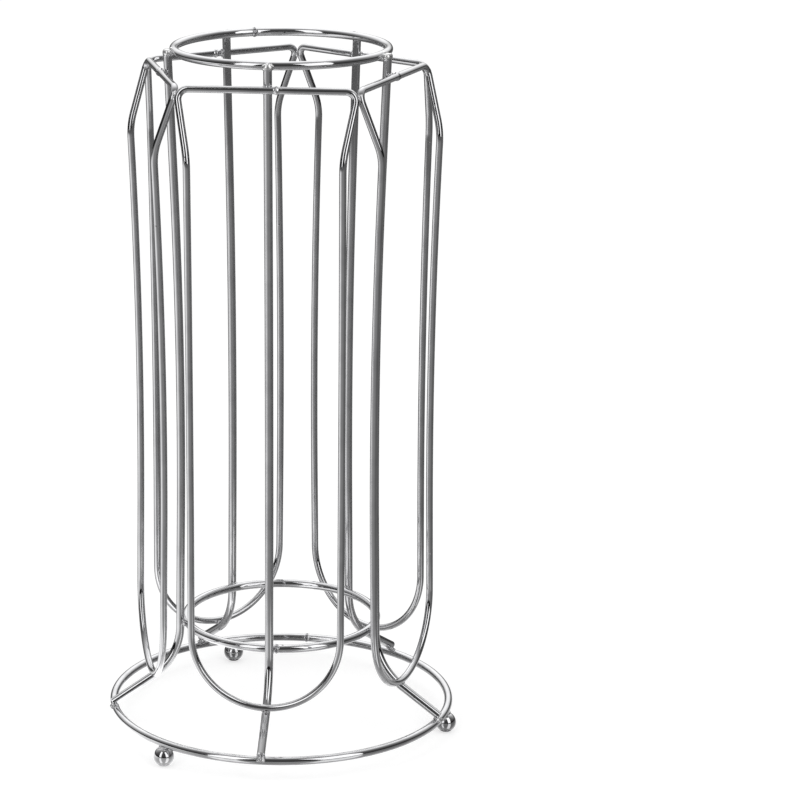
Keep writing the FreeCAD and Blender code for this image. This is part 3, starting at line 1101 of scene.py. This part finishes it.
@dataclass
class Welds:
    """Metal squeezed out where two wires were welded."""

    sizes: StandSizes
    kinds: list[WeldKind]
    voxel: float = 0.00012
    beads: tuple[tuple[int, int, float], ...] = (
        (1, 1, 1.0), (1, -1, 0.9), (-1, -1, 1.08), (-1, 1, 0.85))
    bead_height: float = 1.1
    unevenness: float = 0.00022
    even_share: float = 0.6
    softening: float = 0.5
    sharp_above_degrees: float = 70.0

    def build(self, chrome: bpy.types.Material) -> None:
        """Make every weld, the welds of one kind as one piece.

        Args:
            chrome: Finish of the weld metal.
        """
        for kind in self.kinds:
            feet = kind.node == "ball_foot_welds"
            angles = self.sizes.foot_angles() if feet else self.sizes.post_angles()
            master = self.nugget(kind)
            copies = []
            for number, angle in enumerate(angles, start=1):
                copy = Mesher.copy(master, f"{kind.node}_{number}")
                self.roughen(copy, number)
                Mesher.turn(copy, angle)
                copies.append(copy)
            bpy.data.objects.remove(master)
            weld = Mesher.join(copies, PLATED + kind.node)
            Mesher.smooth(weld, self.sharp_above_degrees)
            dress(weld, chrome)

    def nugget(self, kind: WeldKind) -> bpy.types.Object:
        """Shape one weld: a lens between the wires, and a bead in each of its four corners.

        Args:
            kind: The weld's place, directions and size.

        Returns:
            The nugget, as one skin.
        """
        turn = Matrix((kind.first, kind.second, kind.through)).transposed().to_euler()
        bpy.ops.object.select_all(action="DESELECT")
        bpy.ops.mesh.primitive_ico_sphere_add(subdivisions=4, radius=kind.radius, location=kind.point,
                                              rotation=turn, scale=(1.0, 1.0, kind.flatness))
        parts = [bpy.context.object]
        for ahead, beside, share in self.beads:
            place = kind.point + (kind.first * ahead + kind.second * beside) * kind.bead_reach
            bpy.ops.object.select_all(action="DESELECT")
            bpy.ops.mesh.primitive_ico_sphere_add(subdivisions=3, radius=kind.bead * share, location=place,
                                                  rotation=turn, scale=(1.0, 1.0, self.bead_height))
            parts.append(bpy.context.object)
        drop = Mesher.join(parts, f"{kind.node}_master")
        bpy.ops.object.transform_apply(location=True, rotation=True, scale=True)
        drop.data.remesh_voxel_size = self.voxel
        bpy.ops.object.voxel_remesh()
        Mesher.edit(drop)
        bpy.ops.mesh.vertices_smooth(factor=self.softening, repeat=6)
        bpy.ops.object.mode_set(mode="OBJECT")
        return drop

    def roughen(self, piece: bpy.types.Object, seed: int) -> None:
        """Make a nugget's surface uneven, and soften it again.

        Args:
            piece: The nugget.
            seed: Seed of the unevenness.
        """
        Mesher.edit(piece)
        bpy.ops.transform.vertex_random(offset=self.unevenness, uniform=self.even_share, seed=seed)
        bpy.ops.mesh.vertices_smooth(factor=self.softening, repeat=4)
        bpy.ops.object.mode_set(mode="OBJECT")


@dataclass(frozen=True)
class SoftBox:
    """A tall rectangular lamp that leans towards the stand, with its lower edge near the floor."""

    name: str
    side_degrees: float
    width: float
    watts: float
    elevation: float = radians(30.0)
    distance: float = 1.5
    height: float = 1.65

    def build(self, camera_azimuth: float, target: Vector) -> None:
        """Set up the lamp.

        Args:
            camera_azimuth: Direction of the camera, from which the lamp's side is counted.
            target: The point that it faces.
        """
        data = bpy.data.lights.new(self.name, "AREA")
        data.shape = "RECTANGLE"
        data.size = self.width
        data.size_y = self.height
        data.energy = self.watts
        lamp = bpy.data.objects.new(self.name, data)
        level = heading(camera_azimuth + radians(self.side_degrees)) * cos(self.elevation)
        lamp.location = target + (level + UP * sin(self.elevation)) * self.distance
        lamp.rotation_euler = (target - lamp.location).to_track_quat("-Z", "Y").to_euler()
        lamp.visible_camera = False
        bpy.context.scene.collection.objects.link(lamp)


@dataclass(frozen=True)
class StudioTones:
    """What the plating mirrors: a light ceiling, a dark room, and a floor that is lightest on the left."""

    ceiling: Tones = ((0.00, 0.08), (0.28, 0.14), (0.48, 0.30), (0.70, 0.62), (0.86, 1.25), (1.00, 1.80))
    floor_by_degrees: Tones = (
        (-180.0, 0.12), (-140.0, 0.08), (-112.0, 0.45), (-92.0, 1.25), (-70.0, 1.30), (-45.0, 0.60),
        (-12.0, 0.30), (14.0, 0.34), (42.0, 0.22), (75.0, 0.16), (110.0, 0.15), (135.0, 0.24),
        (160.0, 0.14), (180.0, 0.12))
    skirting: float = 0.08
    skirting_span: Span = (0.03, 0.32)
    floor_far: float = 0.16
    floor_span: Span = (1.0, 1.9)
    floor_gloss: float = 0.5
    floor_gloss_span: Span = (0.12, 0.22)
    floor_gloss_roughness: float = 0.08


@dataclass
class Surroundings:
    """A dome and a floor card that only the plating sees."""

    camera_azimuth: float
    tones: StudioTones = StudioTones()
    dome_radius: float = 4.0
    card_lift: float = 0.0001
    ceiling_tilt: float = radians(45.0)

    def build(self) -> None:
        """Set up the dome and the card."""
        bpy.ops.object.select_all(action="DESELECT")
        bpy.ops.mesh.primitive_uv_sphere_add(segments=64, ring_count=32, radius=self.dome_radius)
        dome = bpy.context.object
        dome.name = "studio_dome"
        dome.data.materials.append(self.dome_material())
        self.only_mirrored(dome)
        bpy.ops.object.select_all(action="DESELECT")
        bpy.ops.mesh.primitive_circle_add(vertices=96, radius=self.dome_radius, fill_type="NGON",
                                          location=(0.0, 0.0, self.card_lift))
        card = bpy.context.object
        card.name = "floor_card"
        card.data.materials.append(self.card_material())
        self.only_mirrored(card)

    @staticmethod
    def only_mirrored(thing: bpy.types.Object) -> None:
        """Hide a thing from everything but mirror reflections.

        Args:
            thing: The dome or the card.
        """
        for way in ("camera", "diffuse", "transmission", "volume_scatter", "shadow"):
            setattr(thing, f"visible_{way}", False)

    def dome_material(self) -> bpy.types.Material:
        """Ceiling that is lightest high up behind the stand, over a dark room.

        Returns:
            The material.
        """
        bench = NodeBench("studio_dome")
        place = bench.node("ShaderNodeTexCoord")
        unit = bench.node("ShaderNodeVectorMath", operation="NORMALIZE")
        bench.link(place, "Object", unit, 0)
        back = heading(self.camera_azimuth) * -sin(self.ceiling_tilt)
        lightest = bench.node("ShaderNodeVectorMath", operation="DOT_PRODUCT")
        bench.link(unit, "Vector", lightest, 0)
        lightest.inputs[1].default_value = back + UP * cos(self.ceiling_tilt)
        ramp = bench.ramp(self.tones.ceiling)
        bench.link(lightest, "Value", ramp, "Fac")
        parts = bench.node("ShaderNodeSeparateXYZ")
        bench.link(unit, "Vector", parts, "Vector")
        skirting = bench.fade(parts, "Z", self.tones.skirting_span, (self.tones.skirting, 1.0))
        glow = bench.node("ShaderNodeEmission")
        bench.link(ramp, "Color", glow, "Color")
        bench.link(skirting, "Result", glow, "Strength")
        bench.link(glow, "Emission", bench.output, "Surface")
        return bench.material

    def card_material(self) -> bpy.types.Material:
        """Floor that is lightest on the left, dark far away, and glossy close to the stand.

        Returns:
            The material.
        """
        bench = NodeBench("floor_card")
        place = bench.node("ShaderNodeTexCoord")
        turned = bench.node("ShaderNodeMapping", Rotation=(0.0, 0.0, -self.camera_azimuth))
        bench.link(place, "Object", turned, "Vector")
        parts = bench.node("ShaderNodeSeparateXYZ")
        bench.link(turned, "Vector", parts, "Vector")
        azimuth = bench.node("ShaderNodeMath", operation="ARCTAN2")
        bench.link(parts, "Y", azimuth, 0)
        bench.link(parts, "X", azimuth, 1)
        scale = bench.node("ShaderNodeMapRange", From_Min=-pi, From_Max=pi)
        bench.link(azimuth, "Value", scale, "Value")
        around = bench.ramp(self.tones.floor_by_degrees)
        bench.link(scale, "Result", around, "Fac")
        reach = bench.node("ShaderNodeVectorMath", operation="LENGTH")
        bench.link(place, "Object", reach, 0)
        fading = bench.fade(reach, "Value", self.tones.floor_span)
        far = bench.node("ShaderNodeMix", data_type="RGBA")
        bench.link(fading, "Result", far, MIX_FACTOR)
        bench.link(around, "Color", far, MIX_COLORS[0])
        far.inputs[MIX_COLORS[1]].default_value = grey(self.tones.floor_far)
        glow = bench.node("ShaderNodeEmission", Strength=1.0)
        bench.link(far, MIXED_COLOR, glow, "Color")
        low, high = self.tones.floor_gloss_span
        gloss_fade = bench.node("ShaderNodeMapRange", From_Min=low, From_Max=high,
                                To_Min=self.tones.floor_gloss, To_Max=0.0)
        bench.link(reach, "Value", gloss_fade, "Value")
        gloss = bench.node("ShaderNodeBsdfGlossy", Roughness=self.tones.floor_gloss_roughness)
        bench.link(gloss_fade, "Result", gloss, "Color")
        both = bench.node("ShaderNodeAddShader")
        bench.link(glow, "Emission", both, 0)
        bench.link(gloss, "BSDF", both, 1)
        bench.link(both, "Shader", bench.output, "Surface")
        return bench.material


@dataclass
class Studio:
    """Floor, surroundings, lamps and camera."""

    camera_azimuth: float = radians(-83.455)
    camera_distance: float = 1.019
    camera_height: float = 0.4139
    camera_pitch: float = radians(16.285)
    focal_length: float = 132.2
    frame_width: float = 800.0
    axis_pixel_x: float = 281.2
    level_pixel_y: float = 417.9
    sensor_width: float = 36.0
    clip_start: float = 0.01
    clip_end: float = 50.0
    lamps: tuple[SoftBox, ...] = (
        SoftBox("softbox_left", side_degrees=-37.5, width=0.56, watts=5.1),
        SoftBox("softbox_right", side_degrees=39.0, width=0.8, watts=7.3),
    )
    lit_height: float = 0.12
    floor_size: float = 40.0
    floor_color: float = 0.6
    glow_span: Span = (0.3, 2.2)
    glow_ends: Span = (0.58, 0.66)
    world_light: float = 0.62

    def build(self) -> None:
        """Set up the studio."""
        self.build_camera()
        self.build_floor()
        self.build_world()
        Surroundings(self.camera_azimuth).build()
        for lamp in self.lamps:
            lamp.build(self.camera_azimuth, UP * self.lit_height)
        bpy.context.scene.view_settings.view_transform = "Standard"

    def build_camera(self) -> None:
        """Place the camera where the photograph was taken from."""
        data = bpy.data.cameras.new("camera")
        data.sensor_width = self.sensor_width
        data.lens = self.focal_length
        data.clip_start = self.clip_start
        data.clip_end = self.clip_end
        middle = self.frame_width / 2
        data.shift_x = (middle - self.axis_pixel_x) / self.frame_width
        data.shift_y = (self.level_pixel_y - middle) / self.frame_width
        camera = bpy.data.objects.new("camera", data)
        camera.location = heading(self.camera_azimuth) * self.camera_distance + UP * self.camera_height
        camera.rotation_euler = (pi / 2 - self.camera_pitch, 0.0, self.camera_azimuth + pi / 2)
        bpy.context.scene.collection.objects.link(camera)
        bpy.context.scene.camera = camera

    def build_floor(self) -> None:
        """Lay a plain white floor that keeps the stand's shadow."""
        bpy.ops.object.select_all(action="DESELECT")
        bpy.ops.mesh.primitive_plane_add(size=self.floor_size)
        floor = bpy.context.object
        floor.name = "floor"
        bench = NodeBench("white_floor")
        bench.shader.inputs["Base Color"].default_value = grey(self.floor_color)
        bench.shader.inputs["Roughness"].default_value = 1.0
        bench.shader.inputs["Specular IOR Level"].default_value = 0.0
        place = bench.node("ShaderNodeTexCoord")
        reach = bench.node("ShaderNodeVectorMath", operation="LENGTH")
        bench.link(place, "Object", reach, 0)
        level = bench.fade(reach, "Value", self.glow_span, self.glow_ends)
        glow = bench.node("ShaderNodeEmission", Strength=1.0)
        seen = bench.seen()
        times = bench.node("ShaderNodeMath", operation="MULTIPLY")
        bench.link(seen, "Value", times, 0)
        bench.link(level, "Result", times, 1)
        bench.link(times, "Value", glow, "Strength")
        both = bench.node("ShaderNodeAddShader")
        bench.link(bench.shader, "BSDF", both, 0)
        bench.link(glow, "Emission", both, 1)
        bench.link(both, "Shader", bench.output, "Surface")
        floor.data.materials.append(bench.material)

    def build_world(self) -> None:
        """Make the surroundings white to the eye, and a little darker as a lamp."""
        world = bpy.data.worlds.new("studio")
        bpy.context.scene.world = world
        world.use_nodes = True
        bench = NodeBench.for_world(world)
        back = bench.node("ShaderNodeBackground", Color=grey(1.0))
        level = bench.node("ShaderNodeMapRange", To_Min=self.world_light, To_Max=1.0)
        bench.link(bench.seen(), "Value", level, "Value")
        bench.link(level, "Result", back, "Strength")
        bench.link(back, "Background", bench.output, "Surface")


def weld_kinds(sizes: StandSizes, post: PostLine, loop: LoopLine) -> list[WeldKind]:
    """Places of the stand's welds at angle zero.

    Args:
        sizes: The stand's sizes.
        post: Centre line of the posts.
        loop: Centre line of the loops.

    Returns:
        The kinds of weld.
    """
    reach = sizes.ring_wire - sizes.setdown / 2
    loop_reach = sizes.loop_wire - sizes.setdown / 2
    top = at(sizes.top_ring_radius + reach, sizes.top_ring_height)
    collar = at(sizes.collar_ring_radius + reach, sizes.collar_ring_height)
    bar = loop.bar_centre - RADIAL * loop_reach
    corner = loop.corner_contact() + loop.to_neighbour * loop.corner_gap
    corner_out = heading(pi / sizes.columns)
    foot = loop.foot - loop.foot_normal * loop_reach
    foot_along = loop.foot_normal.cross(TANGENTIAL)
    base = post.ring_centre + post.normal * reach
    ball = at(sizes.base_ring_radius, 2 * sizes.ball_radius - sizes.setdown / 2)
    return [
        WeldKind("top_ring_welds", top, RADIAL, TANGENTIAL, UP, bead=0.0004, bead_reach=0.0008),
        WeldKind("collar_ring_welds", collar, RADIAL, TANGENTIAL, UP),
        WeldKind("loop_bar_welds", bar, RADIAL, TANGENTIAL, UP, bead=0.0006, bead_reach=0.0011),
        WeldKind("loop_corner_welds", corner, loop.to_neighbour, corner_out, UP,
                 radius=0.0015, bead=0.0005, bead_reach=0.0008),
        WeldKind("loop_foot_welds", foot, loop.foot_normal, foot_along, TANGENTIAL,
                 radius=0.0015, bead=0.0005, bead_reach=0.00095),
        WeldKind("base_ring_welds", base, post.normal, post.outward, TANGENTIAL),
        WeldKind("ball_foot_welds", ball, UP, RADIAL, TANGENTIAL, radius=0.0018, bead=0.0005),
    ]


def main() -> None:
    """Build the stand and its studio, and report each part."""
    logging.basicConfig(level=logging.INFO, format="%(message)s")
    sizes = StandSizes()
    post = PostLine(sizes)
    loop = LoopLine(sizes, post)
    log.info("spoke slope %.4f rad, bar half width %.5f m", post.slope, loop.half_width)
    wire = ChromeFinish("chrome_wire").build()
    # Above this height the posts' heads get a painted highlight as a paler colour, and more roughness
    post_wire = ChromeFinish("chrome_post", painted_highlight_above=0.2495).build()
    ball = ChromeFinish("chrome_ball", line_bump=0.0, pit_bump=0.3).build()
    bead = ChromeFinish("chrome_weld", color=(0.72, 0.72, 0.73, 1.0), roughness=0.15, dull_roughness=0.25,
                        line_bump=0.0, ripple_bump=0.2, ripple_scale=900.0).build()
    Rings(sizes).build(wire)
    Posts(sizes, post).build(post_wire)
    CapsuleLoops(sizes, loop).build(wire)
    BallFeet(sizes).build(ball)
    Welds(sizes, weld_kinds(sizes, post, loop)).build(bead)
    Studio().build()


if __name__ == "__main__":
    main()
